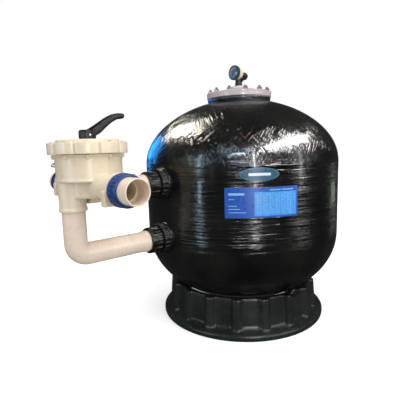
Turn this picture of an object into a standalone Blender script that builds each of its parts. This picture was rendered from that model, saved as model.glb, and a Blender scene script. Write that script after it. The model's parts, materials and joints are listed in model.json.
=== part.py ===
"""Side-mount sand filter: wound vessel on a fluted skirt, multiport valve, gauge and under-drain.

The row's origin is on the floor, under the middle of the bounding box. +X points from the valve
to the vessel, +Z is up, and the pump port faces -Y. All lengths are in metres.
"""
import math

import bmesh
import bpy
from mathutils import Matrix, Vector

# Vessel
VESSEL_RADIUS = 0.300
VESSEL_WALL = 0.006
TANK_X = 0.1485
LOWER_DOME_Z = 0.2664
LOWER_DOME_DEPTH = 0.2151
LOWER_DOME_POWER = 2.04
UPPER_DOME_Z = 0.4809
UPPER_DOME_HEIGHT = 0.1944
UPPER_DOME_POWER = 1.93
NECK_RADIUS = 0.098
NECK_BORE = 0.070
NECK_TOP = 0.676
VESSEL_SEGMENTS = 40

# Base skirt
SKIRT_HEIGHT = 0.107
FLANGE_RADIUS = 0.260
FLANGE_THICKNESS = 0.016
FLUTES = 18
RIB_TOP_RADIUS = 0.233
RIB_FOOT_RADIUS = 0.239
FLUTE_DEPTH = 0.0115
RIB_PHASE = math.radians(1)
# Degrees from each rib's middle, and the share of the flute depth reached there
FLUTE_PROFILE = ((-1.7, 0.0), (1.7, 0.0), (4.8, 0.88), (10.0, 1.0), (15.2, 0.88))

# Lid
LID_RADIUS = 0.101
LID_BOTTOM = NECK_TOP + 0.0005
LID_RING_TOP = 0.694
LID_BOSS_TOP = 0.716
LID_BOLTS = 12
LID_BOLT_CIRCLE = 0.090
LID_BOLT_PHASE = math.radians(27)
STUD_RADIUS = 0.004
STUD_TOP = 0.7065

# Pressure gauge and air relief
TEE_TOP = 0.736
GAUGE_Z = 0.756
GAUGE_BORE = 0.0184
KNOB_BASE_Z = 0.7245
KNOB_RADIUS = 0.0115

# Side fittings
UPPER_PORT_Z = 0.434
LOWER_PORT_Z = 0.283
THREAD_RADIUS = 0.029
PIPE_RADIUS = 0.0268
PIPE_BORE = 0.0225
SOCKET_RADIUS = 0.0276
WATERWAY = 0.020
INNER_PIPE_RADIUS = 0.0193

# Multiport valve
VALVE_X = TANK_X - 0.504
SIDE_PORT_Z = 0.445
PLENUM_BOTTOM = 0.420
BOWL_BOTTOM = 0.459
BOWL_FLOOR = 0.466
BOWL_RADIUS = 0.076
BOWL_BORE = 0.068
BODY_TOP = 0.520
COVER_BOTTOM = 0.5205
COVER_TOP = 0.5465
COVER_DISC_TOP = 0.553
COVER_DISC_RADIUS = 0.073
COVER_ROOF = 0.543
COVER_LOBES = 10
COVER_LOBE_RADIUS = 0.0915
COVER_VALLEY_RADIUS = 0.0848
LOBE_PHASE = math.radians(-6)
BOTTOM_PORT_OFFSET = 0.046
BOTTOM_PORT_END = 0.3895
PORT_FACES = {"pump": 0.183, "return": 0.183, "waste": 0.148}
STUB_RADIUS = 0.0282
STUB_BORE = 0.0250
STUB_REACH = 0.0436
SIGHT_GLASS_Z = 0.4954
PIN_Z = 0.5645
STEM_RADIUS = 0.008
SPRING_COIL_RADIUS = 0.0145
SPRING_WIRE = 0.0014

# Under-drain and drain
HUB_Z = 0.112
LATERALS = 6
LATERAL_RADIUS = 0.011
DRAIN_ANGLE = math.radians(-103)
DRAIN_Z = 0.128

X = Vector((1, 0, 0))
Y = Vector((0, 1, 0))
Z = Vector((0, 0, 1))
WASTE_DIRECTION = Vector((1, 1, 0)).normalized()
SIGHT_DIRECTION = Vector((-1, 1, 0)).normalized()
KNOB_DIRECTION = Vector((1, 0, 1)).normalized()
DRAIN_DIRECTION = Vector((math.cos(DRAIN_ANGLE), math.sin(DRAIN_ANGLE), 0))

LOOKS = {
    "black_resin": ((0.012, 0.013, 0.014), 0.18, 0.0),
    "dark_plastic": ((0.030, 0.034, 0.033), 0.45, 0.0),
    "black_plastic": ((0.015, 0.015, 0.016), 0.38, 0.0),
    "clear_plastic": ((0.86, 0.82, 0.83), 0.12, 0.0),
    "ivory_plastic": ((0.80, 0.72, 0.60), 0.35, 0.0),
    "white_plastic": ((0.85, 0.80, 0.74), 0.35, 0.0),
    "blue_plastic": ((0.03, 0.09, 0.42), 0.30, 0.0),
    "steel": ((0.60, 0.60, 0.58), 0.30, 1.0),
    "brass": ((0.62, 0.45, 0.16), 0.30, 1.0),
    "rubber": ((0.02, 0.02, 0.02), 0.70, 0.0),
    "dial_blue": ((0.03, 0.12, 0.50), 0.40, 0.0),
    "needle_white": ((0.85, 0.87, 0.90), 0.40, 0.0),
    "teal_plastic": ((0.02, 0.10, 0.11), 0.35, 0.0),
    "lens": ((0.90, 0.93, 0.95), 0.05, 0.0),
    "valve_grey": ((0.22, 0.23, 0.24), 0.40, 0.0),
}


def clear_scene():
    for item in list(bpy.data.objects):
        bpy.data.objects.remove(item, do_unlink=True)


def give_look(item, look):
    color, roughness, metallic = LOOKS[look]
    material = bpy.data.materials.new(item.name)
    material.use_nodes = True
    shader = material.node_tree.nodes["Principled BSDF"]
    shader.inputs["Base Color"].default_value = (*color, 1.0)
    shader.inputs["Roughness"].default_value = roughness
    shader.inputs["Metallic"].default_value = metallic
    item.data.materials.append(material)


def loft(name, rings, look=None, closed=False, origin=(0, 0, 0), smooth=True):
    """Skin rings of equal length in order; close the tube on itself or cap both ends."""
    count = len(rings[0])
    base = Vector(origin)
    points = [Vector(point) - base for ring in rings for point in ring]
    faces = []
    last = len(rings) - 1
    steps = [(index, index + 1) for index in range(last)]
    if closed:
        steps.append((last, 0))
    for low, high in steps:
        for side in range(count):
            after = (side + 1) % count
            corners = (low * count + side, low * count + after,
                       high * count + after, high * count + side)
            faces.append(corners)
    if not closed:
        faces.append(tuple(range(count)))
        faces.append(tuple(range(last * count, (last + 1) * count)))
    mesh = bpy.data.meshes.new(name)
    mesh.from_pydata([tuple(point) for point in points], [], faces)
    finish_mesh(mesh, smooth)
    item = bpy.data.objects.new(name, mesh)
    item.location = base
    bpy.context.scene.collection.objects.link(item)
    if look:
        give_look(item, look)
    return item


def finish_mesh(mesh, smooth):
    """Point every face outwards and share normals only across gentle edges."""
    shell = bmesh.new()
    shell.from_mesh(mesh)
    bmesh.ops.recalc_face_normals(shell, faces=shell.faces)
    for face in shell.faces:
        face.smooth = smooth
    for edge in shell.edges:
        if len(edge.link_faces) == 2 and edge.calc_face_angle() > math.radians(35):
            edge.smooth = False
    shell.to_mesh(mesh)
    shell.free()


def axis_frame(origin, direction):
    """Matrix whose Z runs along direction, with its X as near to world X or Y as it can be."""
    along = Vector(direction).normalized()
    hint = Y if abs(along.dot(X)) > 0.5 else X
    side = (hint - along * hint.dot(along)).normalized()
    up = along.cross(side)
    frame = Matrix((side, up, along)).transposed().to_4x4()
    frame.translation = Vector(origin)
    return frame


def turned(name, profile, frame, segments, look=None, closed=True, origin=(0, 0, 0)):
    """Revolve a list of (radius, distance along the axis) about the frame's Z axis."""
    rings = []
    for radius, along in profile:
        ring = []
        for index in range(segments):
            angle = 2 * math.pi * index / segments
            local = Vector((radius * math.cos(angle), radius * math.sin(angle), along))
            ring.append(frame @ local)
        rings.append(ring)
    return loft(name, rings, look, closed, origin)


def box(name, low, high, look=None):
    corners = [(low[0], low[1]), (high[0], low[1]), (high[0], high[1]), (low[0], high[1])]
    rings = [[(x, y, z) for x, y in corners] for z in (low[2], high[2])]
    return loft(name, rings, look, smooth=False)


def combine(item, other, operation):
    """Apply one exact boolean and throw the tool away."""
    modifier = item.modifiers.new(operation, "BOOLEAN")
    modifier.operation = operation
    modifier.solver = "EXACT"
    modifier.object = other
    graph = bpy.context.evaluated_depsgraph_get()
    mesh = bpy.data.meshes.new_from_object(item.evaluated_get(graph))
    item.modifiers.clear()
    mesh.name = item.name
    item.data = mesh
    bpy.data.objects.remove(other, do_unlink=True)
    finish_mesh(mesh, True)


def join(item, other):
    combine(item, other, "UNION")


def drill(item, origin, direction, radius, start, end, segments=16):
    """Cut a round hole between two distances along a line from origin."""
    frame = axis_frame(origin, direction)
    tool = turned("cutter", [(radius, start), (radius, end)], frame, segments, closed=False)
    tool.hide_render = True
    tool.display_type = "WIRE"
    combine(item, tool, "DIFFERENCE")


def rod(origin, direction, profile, segments=20):
    """Solid turned tool for joining to another piece."""
    return turned("tool", profile, axis_frame(origin, direction), segments, closed=False)


def tank_point(x=0.0, y=0.0, z=0.0):
    return Vector((TANK_X + x, y, z))


def valve_point(x=0.0, y=0.0, z=0.0):
    return Vector((VALVE_X + x, y, z))


# Vessel, skirt and lid

def dome_height(radius, equator, height, power):
    return height * (1 - (radius / equator) ** power) ** (1 / power)


def shell_profile(inset, lower_radii, upper_radii):
    """Half outline of the vessel, from the bottom up, moved in by inset."""
    equator = VESSEL_RADIUS - inset
    lower = LOWER_DOME_DEPTH - inset
    upper = UPPER_DOME_HEIGHT - inset
    profile = []
    for share in lower_radii:
        drop = dome_height(share * equator, equator, lower, LOWER_DOME_POWER)
        profile.append((share * equator, LOWER_DOME_Z - drop))
    profile.append((equator, LOWER_DOME_Z))
    profile.append((equator, UPPER_DOME_Z))
    for share in upper_radii:
        rise = dome_height(share * equator, equator, upper, UPPER_DOME_POWER)
        profile.append((share * equator, UPPER_DOME_Z + rise))
    return profile


def make_vessel():
    outer = shell_profile(0.0, (0.10, 0.42, 0.64, 0.80, 0.91, 0.98), (0.98, 0.91, 0.79, 0.63, 0.47))
    neck_foot = UPPER_DOME_Z + dome_height(NECK_RADIUS, VESSEL_RADIUS, UPPER_DOME_HEIGHT,
                                           UPPER_DOME_POWER)
    outer += [(NECK_RADIUS, neck_foot), (NECK_RADIUS, NECK_TOP), (NECK_BORE, NECK_TOP)]
    inner = shell_profile(VESSEL_WALL, (0.10, 0.50, 0.80, 0.96), (0.95, 0.79, 0.50))
    mouth = UPPER_DOME_Z + dome_height(NECK_BORE, VESSEL_RADIUS - VESSEL_WALL,
                                       UPPER_DOME_HEIGHT - VESSEL_WALL, UPPER_DOME_POWER)
    inner.append((NECK_BORE, mouth))
    vessel = turned("tank_vessel", outer + inner[::-1], axis_frame(tank_point(), Z),
                    VESSEL_SEGMENTS, "black_resin", closed=False)
    for height in (UPPER_PORT_Z, LOWER_PORT_Z):
        drill(vessel, tank_point(z=height), -X, 0.0299, 0.27, 0.32, 24)
    drill(vessel, tank_point(z=DRAIN_Z), DRAIN_DIRECTION, 0.0090, 0.20, 0.26, 12)
    for angle in lid_bolt_angles():
        foot = bolt_point(angle, 0.6645)
        drill(vessel, foot, Z, STUD_RADIUS * 1.18, 0.0, 0.03, 6)


def skirt_ring(radius, z, depth=0.0):
    """One level of the skirt: narrow upright ribs with broad hollow panels between them."""
    ring = []
    for index in range(FLUTES):
        for offset, share in FLUTE_PROFILE:
            angle = RIB_PHASE + 2 * math.pi * index / FLUTES + math.radians(offset)
            reach = radius - depth * share
            ring.append(tank_point(reach * math.cos(angle), reach * math.sin(angle), z))
    return ring


def round_ring(radius, z, count, centre=TANK_X, phase=0.0):
    ring = []
    for index in range(count):
        angle = phase + 2 * math.pi * index / count
        ring.append(Vector((centre + radius * math.cos(angle), radius * math.sin(angle), z)))
    return ring


def make_skirt():
    flange = [(0.226, 0.0), (FLANGE_RADIUS - 0.002, 0.0), (FLANGE_RADIUS, 0.003),
              (FLANGE_RADIUS, FLANGE_THICKNESS - 0.003),
              (FLANGE_RADIUS - 0.003, FLANGE_THICKNESS)]
    cradle = [(0.2060, SKIRT_HEIGHT), (0.2040, SKIRT_HEIGHT - 0.006),
              (0.2150, SKIRT_HEIGHT - 0.009), (0.2200, 0.020)]
    rings = [skirt_ring(radius, z) for radius, z in flange]
    rings.append(skirt_ring(RIB_FOOT_RADIUS, FLANGE_THICKNESS + 0.0005, FLUTE_DEPTH))
    rings.append(skirt_ring(RIB_TOP_RADIUS, SKIRT_HEIGHT, FLUTE_DEPTH))
    rings += [skirt_ring(radius, z) for radius, z in cradle]
    loft("base_skirt", rings, "dark_plastic", closed=True)


def lid_bolt_angles():
    return [LID_BOLT_PHASE + 2 * math.pi * index / LID_BOLTS for index in range(LID_BOLTS)]


def bolt_point(angle, z):
    return tank_point(LID_BOLT_CIRCLE * math.cos(angle), LID_BOLT_CIRCLE * math.sin(angle), z)


def make_lid():
    profile = [
        (0.0086, LID_BOSS_TOP), (0.022, LID_BOSS_TOP), (0.025, 0.709), (0.048, 0.704),
        (0.068, LID_RING_TOP), (LID_RADIUS, LID_RING_TOP), (LID_RADIUS, LID_BOTTOM),
        (0.0808, LID_BOTTOM), (0.0808, 0.6803), (0.0752, 0.6803), (0.0752, LID_BOTTOM),
        (0.0690, LID_BOTTOM), (0.0690, 0.668), (0.0620, 0.668), (0.0600, 0.686),
        (0.0460, 0.695), (0.0220, 0.700), (0.0086, 0.701),
    ]
    lid = turned("tank_lid", profile, axis_frame(tank_point(), Z), 32, "clear_plastic")
    for angle in lid_bolt_angles():
        drill(lid, bolt_point(angle, LID_BOTTOM), Z, STUD_RADIUS * 1.18, -0.01, 0.03, 6)
    seal = [(0.0758, 0.6780), (0.0780, 0.6799), (0.0802, 0.6780), (0.0780, 0.6763)]
    turned("lid_seal", seal, axis_frame(tank_point(), Z), 32, "rubber")


def make_lid_bolts():
    for number, angle in enumerate(lid_bolt_angles(), start=1):
        profile = [
            (STUD_RADIUS, 0.6648), (STUD_RADIUS, LID_RING_TOP + 0.0003),
            (0.0076, LID_RING_TOP + 0.0003), (0.0076, LID_RING_TOP + 0.0070),
            (STUD_RADIUS, LID_RING_TOP + 0.0070), (STUD_RADIUS, STUD_TOP),
        ]
        frame = axis_frame(bolt_point(angle, 0.0), Z)
        turned(f"lid_bolt_{number:02d}", profile, frame, 6, "steel", closed=False)


# Gauge and air relief

def make_gauge():
    tee = rod(tank_point(), Z, [(0.0078, 0.692), (0.0078, 0.7163), (0.0115, 0.7163),
                                (0.0115, 0.7335), (0.0090, TEE_TOP)])
    tee.name = "gauge_tee"
    join(tee, rod(tank_point(z=KNOB_BASE_Z), KNOB_DIRECTION, [(0.006, 0.0), (0.006, 0.0285)], 16))
    drill(tee, tank_point(), Z, 0.0030, 0.68, 0.73, 10)
    drill(tee, tank_point(), Z, 0.0052, 0.7262, 0.75, 12)
    drill(tee, tank_point(z=KNOB_BASE_Z), KNOB_DIRECTION, 0.0042, 0.0105, 0.03, 10)
    give_look(tee, "black_plastic")

    turned("gauge_stem", [(0.0018, 0.7266), (0.0046, 0.7266), (0.0046, 0.7440), (0.0018, 0.7440)],
           axis_frame(tank_point(), Z), 12, "brass")
    front = axis_frame(tank_point(z=GAUGE_Z), -X)
    case = [(0.0145, -0.0025), (0.0145, 0.0095), (GAUGE_BORE, 0.0095), (GAUGE_BORE, 0.0215),
            (0.0202, 0.0215), (0.0202, 0.0140), (0.0165, -0.0050), (0.0147, -0.0060)]
    shell = turned("gauge_case", case, front, 24, "ivory_plastic", closed=False)
    drill(shell, tank_point(), Z, 0.0050, 0.730, 0.750, 12)
    bezel = [(0.0207, 0.0135), (0.0219, 0.0140), (0.0221, 0.0215), (0.0213, 0.0226),
             (0.0175, 0.0226), (0.0175, 0.0218), (0.0207, 0.0218)]
    turned("gauge_bezel", bezel, front, 24, "teal_plastic")
    turned("gauge_lens", [(0.0180, 0.0188), (0.0180, 0.0213)], front, 24, "lens", closed=False)
    turned("gauge_dial", [(0.0180, 0.0098), (0.0180, 0.0108)], front, 24, "dial_blue",
           closed=False)
    make_needle()
    knob = [(0.0036, 0.0120), (0.0036, 0.0290), (0.0095, 0.0290), (KNOB_RADIUS, 0.0305),
            (KNOB_RADIUS, 0.0405), (0.0095, 0.0420)]
    turned("air_relief_knob", knob, axis_frame(tank_point(z=KNOB_BASE_Z), KNOB_DIRECTION), 20,
           "black_plastic", closed=False, origin=tank_point(z=KNOB_BASE_Z))


def make_needle():
    """Pointer resting at zero, low on the left as the dial is read."""
    pivot = tank_point(-0.0115, 0.0, GAUGE_Z)
    outline = [(0.0142, 0.0), (0.0020, 0.0013), (0.0, 0.0022), (-0.0048, 0.0011),
               (-0.0048, -0.0011), (0.0, -0.0022), (0.0020, -0.0013)]
    toward = (Y - Z).normalized()
    across = X.cross(toward)
    rings = []
    for depth in (0.0, -0.0010):
        rings.append([pivot + toward * a + across * b + X * depth for a, b in outline])
    loft("gauge_needle", rings, "needle_white", origin=pivot, smooth=False)


# Side fittings, pipes and unions

def make_side_fitting(level, height):
    frame = axis_frame(tank_point(z=height), -X)
    bulkhead = [(WATERWAY, 0.262), (THREAD_RADIUS, 0.262), (THREAD_RADIUS, 0.3006),
                (0.0425, 0.3006), (0.0430, 0.3030), (0.0430, 0.3220), (0.0410, 0.3250),
                (0.0285, 0.3250), (0.0285, 0.3500), (WATERWAY, 0.3500)]
    turned(f"bulkhead_{level}", bulkhead, frame, 20, "black_plastic")
    locknut = [(0.0299, 0.2730), (0.0400, 0.2730), (0.0400, 0.2865), (0.0299, 0.2865)]
    turned(f"locknut_{level}", locknut, frame, 20, "black_plastic")
    nut = [(0.0295, 0.3256), (0.0345, 0.3256), (0.0352, 0.3280), (0.0352, 0.3560),
           (0.0340, 0.3585), (0.0278, 0.3585), (0.0278, 0.3546), (0.0295, 0.3546)]
    turned(f"union_nut_{level}", nut, frame, 20, "black_plastic",
           origin=tank_point(-0.342, 0.0, height))


def bend(corner, first, second, radius, steps):
    """Stations (point, direction) round a quarter turn between two straight runs."""
    centre = corner - first * radius + second * radius
    stations = []
    for index in range(steps + 1):
        angle = math.pi / 2 * index / steps
        point = centre - second * radius * math.cos(angle) + first * radius * math.sin(angle)
        stations.append((point, first * math.cos(angle) + second * math.sin(angle)))
    return stations


def pipe(name, stations, bore, segments, look):
    """Hollow pipe in the XZ plane; each station is (point, direction, outer radius)."""
    def ring(point, direction, radius):
        normal = Y.cross(direction)
        points = []
        for index in range(segments):
            angle = 2 * math.pi * index / segments
            points.append(point + Y * radius * math.cos(angle) + normal * radius * math.sin(angle))
        return points

    outer = [ring(*station) for station in stations]
    inner = []
    previous = None
    for point, direction, _ in stations:
        if previous is None or (point - previous).length > 0.006:
            inner.append(ring(point, direction, bore))
            previous = point
    if (stations[-1][0] - previous).length > 0:
        inner.append(ring(stations[-1][0], stations[-1][1], bore))
    return loft(name, outer + inner[::-1], look, closed=True)


def run(points, direction):
    """Straight stretch of pipe: (point, outer radius) pairs sharing one direction."""
    return [(point, direction, radius) for point, radius in points]


def make_upper_tailpiece():
    profile = [(PIPE_BORE, 0.3503), (0.0290, 0.3503), (0.0290, 0.3543), (PIPE_RADIUS, 0.3543),
               (PIPE_RADIUS, 0.4080), (PIPE_BORE, 0.4080)]
    turned("upper_tailpiece", profile, axis_frame(tank_point(z=UPPER_PORT_Z), -X), 20,
           "ivory_plastic")


def make_elbow_pipe():
    start = [(0.3503, 0.0290), (0.3543, 0.0290), (0.3543, PIPE_RADIUS), (0.3590, PIPE_RADIUS),
             (0.3605, 0.0286), (0.3720, 0.0286), (0.3735, PIPE_RADIUS)]
    stations = run([(tank_point(-s, 0, LOWER_PORT_Z), r) for s, r in start], -X)
    corner = valve_point(-BOTTOM_PORT_OFFSET, 0, LOWER_PORT_Z)
    stations += [(point, way, PIPE_RADIUS) for point, way in bend(corner, -X, Z, 0.029, 6)]
    top = valve_point(-BOTTOM_PORT_OFFSET, 0, 0.4135)
    stations += run([(top, PIPE_RADIUS)], Z)
    pipe("elbow_pipe", stations, PIPE_BORE, 16, "ivory_plastic")


def make_outside_union(port, direction):
    face = valve_point(z=SIDE_PORT_Z) + direction * PORT_FACES[port]
    frame = axis_frame(face, direction)
    nut = [(0.0312, -0.0210), (0.0354, -0.0210), (0.0361, -0.0188), (0.0361, 0.0070),
           (0.0343, 0.0095), (0.0291, 0.0095), (0.0291, 0.0051), (0.0312, 0.0051)]
    turned(f"{port}_union_nut", nut, frame, 20, "blue_plastic", origin=face - direction * 0.010)
    tail = [(STUB_BORE, 0.0003), (0.0304, 0.0003), (0.0304, 0.0047), (STUB_RADIUS, 0.0047),
            (STUB_RADIUS, STUB_REACH - 0.001), (STUB_RADIUS - 0.001, STUB_REACH),
            (STUB_BORE, STUB_REACH)]
    turned(f"{port}_tailpiece", tail, frame, 20, "white_plastic")


# Multiport valve

def side_ports():
    return [("pump", -Y), ("return", Y), ("waste", WASTE_DIRECTION)]


def make_valve_body():
    bowl = [(0.056, PLENUM_BOTTOM), (0.060, PLENUM_BOTTOM + 0.004), (0.060, BOWL_BOTTOM),
            (0.0785, BOWL_BOTTOM), (0.0785, 0.4635), (BOWL_RADIUS, 0.4650), (0.077, 0.514),
            (0.084, 0.516), (0.084, BODY_TOP)]
    body = turned("valve_body", bowl, axis_frame(valve_point(), Z), 40, closed=False)
    bottom = valve_point(-BOTTOM_PORT_OFFSET)
    join(body, rod(bottom, Z, [(0.0322, BOTTOM_PORT_END), (0.0322, 0.3970), (0.0310, 0.3985),
                               (0.0310, 0.4625)], 20))
    join(body, rod(valve_point(-0.012, 0, UPPER_PORT_Z), X, [(0.031, 0.0), (0.031, 0.132)], 20))
    centre = valve_point(z=SIDE_PORT_Z)
    for port, direction in side_ports():
        face = PORT_FACES[port]
        join(body, rod(centre, direction, [(0.0295, -0.010), (0.0295, face - 0.0430),
                                           (0.0362, face - 0.0420), (0.0362, face - 0.0255),
                                           (0.0302, face - 0.0253), (0.0302, face)], 20))
    near, far = PORT_FACES["pump"] - 0.0425, PORT_FACES["pump"] - 0.0260
    for start, end in ((-far, -near), (near, far)):
        join(body, box("tool", valve_point(-0.0395, start, 0.4130),
                       valve_point(0.0395, end, SIDE_PORT_Z)))
    sight = valve_point(z=SIGHT_GLASS_Z)
    join(body, rod(sight, SIGHT_DIRECTION, [(0.0120, 0.065), (0.0110, 0.080)], 14))

    drill(body, valve_point(), Z, BOWL_BORE, BOWL_FLOOR, 0.540, 40)
    drill(body, bottom, Z, WATERWAY, 0.380, 0.470, 14)
    drill(body, bottom, Z, SOCKET_RADIUS, 0.380, 0.414, 18)
    drill(body, valve_point(z=UPPER_PORT_Z), X, WATERWAY, 0.030, 0.130, 14)
    drill(body, valve_point(z=UPPER_PORT_Z), X, SOCKET_RADIUS, 0.0955, 0.130, 18)
    drill(body, valve_point(0.045), Z, 0.012, UPPER_PORT_Z, 0.470, 8)
    for port, direction in side_ports():
        inner, window, radius = (0.058, 0.0523, 0.009) if port == "waste" else (0.030, 0.045, 0.012)
        drill(body, centre, direction, WATERWAY, inner, PORT_FACES[port] + 0.010, 14)
        drill(body, valve_point() + direction * window, Z, radius, SIDE_PORT_Z, 0.470, 8)
    drill(body, sight, SIGHT_DIRECTION, 0.0068, 0.050, 0.090, 12)
    give_look(body, "ivory_plastic")


def make_sight_glass():
    profile = [(0.0042, 0.0900), (0.0042, 0.0690), (0.0063, 0.0690), (0.0063, 0.0804),
               (0.0098, 0.0804), (0.0098, 0.0830), (0.0078, 0.0840), (0.0068, 0.0930),
               (0.0040, 0.0955)]
    turned("sight_glass", profile, axis_frame(valve_point(z=SIGHT_GLASS_Z), SIGHT_DIRECTION), 14, "lens",
           closed=False)


def lobe_ring(inset, z):
    """Outline of the cover: broad lobes with shallow valleys, moved in by inset."""
    radii = (COVER_LOBE_RADIUS, COVER_LOBE_RADIUS, COVER_VALLEY_RADIUS, COVER_LOBE_RADIUS)
    ring = []
    for index in range(COVER_LOBES * 4):
        angle = LOBE_PHASE + 2 * math.pi * index / (COVER_LOBES * 4)
        radius = radii[index % 4] - inset
        ring.append(valve_point(radius * math.cos(angle), radius * math.sin(angle), z))
    return ring


def make_cover():
    count = COVER_LOBES * 4
    top = [(0.0088, COVER_DISC_TOP), (COVER_DISC_RADIUS - 0.001, COVER_DISC_TOP),
           (COVER_DISC_RADIUS, COVER_TOP)]
    rings = [round_ring(radius, z, count, VALVE_X, LOBE_PHASE) for radius, z in top]
    rings += [lobe_ring(0.003, COVER_TOP), lobe_ring(0.0, COVER_TOP - 0.003)]
    rings.append(lobe_ring(0.001, COVER_BOTTOM))
    groove_top = COVER_BOTTOM + 0.0035
    inside = [(0.0745, COVER_BOTTOM), (0.0745, groove_top), (0.0695, groove_top),
              (0.0695, COVER_BOTTOM), (0.0660, COVER_BOTTOM), (0.0660, COVER_ROOF - 0.003),
              (0.0640, COVER_ROOF), (0.0088, COVER_ROOF + 0.0015)]
    rings += [round_ring(radius, z, count, VALVE_X, LOBE_PHASE) for radius, z in inside]
    loft("valve_cover", rings, "ivory_plastic", closed=True)
    seal = [(0.0704, 0.0015), (0.0720, 0.0031), (0.0738, 0.0015), (0.0720, -0.0001)]
    turned("cover_seal", seal, axis_frame(valve_point(z=COVER_BOTTOM), Z), 32, "rubber")


def arc_pocket(start, end):
    """Curved cutter that lets the rotor join two neighbouring ports."""
    rings = []
    for index in range(6):
        angle = start + (end - start) * index / 5
        outward = Vector((math.cos(angle), math.sin(angle), 0))
        rings.append([valve_point(z=z) + outward * radius
                      for radius, z in ((0.033, 0.460), (0.057, 0.460), (0.057, 0.4765),
                                        (0.033, 0.4765))])
    return loft("cutter", rings, smooth=False)


def make_rotor():
    profile = [(0.0100, 0.4666), (0.0655, 0.4666), (0.0655, 0.4800), (0.0640, 0.4826),
               (0.0112, 0.4826), (0.0108, 0.4926), (0.0086, 0.4926), (0.0086, 0.4860)]
    rotor = turned("valve_rotor", profile[1:] + [(0.0020, 0.4860)], axis_frame(valve_point(), Z),
                   24, closed=False, origin=valve_point(z=0.4666))
    quarter = math.pi / 2
    margin = math.radians(15)
    for middle in (-quarter / 2, quarter * 1.5):
        cutter = arc_pocket(middle - quarter / 2 - margin, middle + quarter / 2 + margin)
        combine(rotor, cutter, "DIFFERENCE")
    give_look(rotor, "valve_grey")


def make_stem():
    stem = rod(valve_point(), Z, [(STEM_RADIUS, 0.4864), (STEM_RADIUS, PIN_Z + 0.004),
                                  (0.0070, PIN_Z + 0.005)], 16)
    stem.name = "valve_stem"
    drill(stem, valve_point(z=PIN_Z), Y, 0.0036, -0.02, 0.02, 8)
    give_look(stem, "valve_grey")
    pin = [(0.0030, -0.0175), (0.0030, 0.0175)]
    turned("handle_pin", pin, axis_frame(valve_point(z=PIN_Z), Y), 8, "steel", closed=False,
           origin=valve_point(z=PIN_Z))
    washer = [(0.0090, 0.0003), (0.0190, 0.0003), (0.0190, 0.0023), (0.0090, 0.0023)]
    turned("valve_washer", washer, axis_frame(valve_point(z=COVER_DISC_TOP), Z), 24,
           "white_plastic", origin=valve_point(z=COVER_DISC_TOP))


def make_spring():
    """Coil between the rotor and the cover, held down to the fixed end at the cover."""
    turns = 4
    steps = 36
    low = 0.4845
    high = COVER_ROOF - 0.0005
    rings = []
    for index in range(steps + 1):
        share = index / steps
        angle = 2 * math.pi * turns * share
        outward = Vector((math.cos(angle), math.sin(angle), 0))
        centre = valve_point(z=low + (high - low) * share) + outward * SPRING_COIL_RADIUS
        rings.append([centre + outward * SPRING_WIRE * math.cos(corner)
                      + Z * SPRING_WIRE * math.sin(corner)
                      for corner in [math.pi / 2 * side for side in range(4)]])
    loft("valve_spring", rings, "steel", origin=valve_point(z=low))


def make_handle():
    """Lever: round hub over the stem, arm sweeping up and out towards the vessel."""
    pivot = valve_point(z=PIN_Z)
    hub = rod(pivot, Z, [(0.0195, -0.0088), (0.0195, 0.0090), (0.0175, 0.0118)], 24)
    hub.name = "valve_handle"
    spine = [(0.004, 0.5675, 0.0160, 0.0080), (0.020, 0.5745, 0.0145, 0.0092),
             (0.034, 0.5850, 0.0125, 0.0086), (0.048, 0.5952, 0.0115, 0.0078),
             (0.062, 0.6040, 0.0112, 0.0072), (0.076, 0.6092, 0.0118, 0.0064),
             (0.088, 0.6104, 0.0122, 0.0056), (0.0920, 0.6098, 0.0118, 0.0050)]
    lean = (-18, -34, -38, -36, -28, -15, -2, 4)
    rings = []
    for (x, z, half_width, half_height), degrees in zip(spine, lean):
        angle = math.radians(degrees)
        upward = Vector((math.sin(angle), 0, math.cos(angle)))
        ring = []
        for corner in range(8):
            turn = math.pi / 8 + math.pi / 4 * corner
            side = max(-1, min(1, 1.3 * math.cos(turn))) * half_width
            rise = max(-1, min(1, 1.3 * math.sin(turn))) * half_height
            ring.append(valve_point(x, 0, z) + Y * side + upward * rise)
        rings.append(ring)
    join(hub, loft("tool", rings))
    drill(hub, pivot, Z, 0.0108, -0.020, 0.0070, 16)
    drill(hub, pivot, Y, 0.0036, -0.03, 0.03, 8)
    give_look(hub, "black_plastic")
    hub.data.transform(Matrix.Translation(-pivot))
    hub.location = pivot


# Inside the vessel, and the drain

def make_diffuser():
    start = tank_point(-0.275, 0, UPPER_PORT_Z)
    corner = tank_point(0, 0, UPPER_PORT_Z)
    stations = run([(start, INNER_PIPE_RADIUS)], X)
    stations += [(point, way, INNER_PIPE_RADIUS) for point, way in bend(corner, X, Z, 0.035, 4)]
    stations += run([(tank_point(z=0.575), INNER_PIPE_RADIUS)], Z)
    pipe("diffuser_pipe", stations, 0.0163, 12, "white_plastic")
    profile = [(0.0198, 0.5600), (0.0235, 0.5600), (0.0235, 0.5900), (0.0520, 0.6040),
               (0.0520, 0.6070), (0.0180, 0.5960), (0.0165, 0.5760), (0.0198, 0.5760)]
    turned("top_diffuser", profile, axis_frame(tank_point(), Z), 16, "white_plastic")


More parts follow.
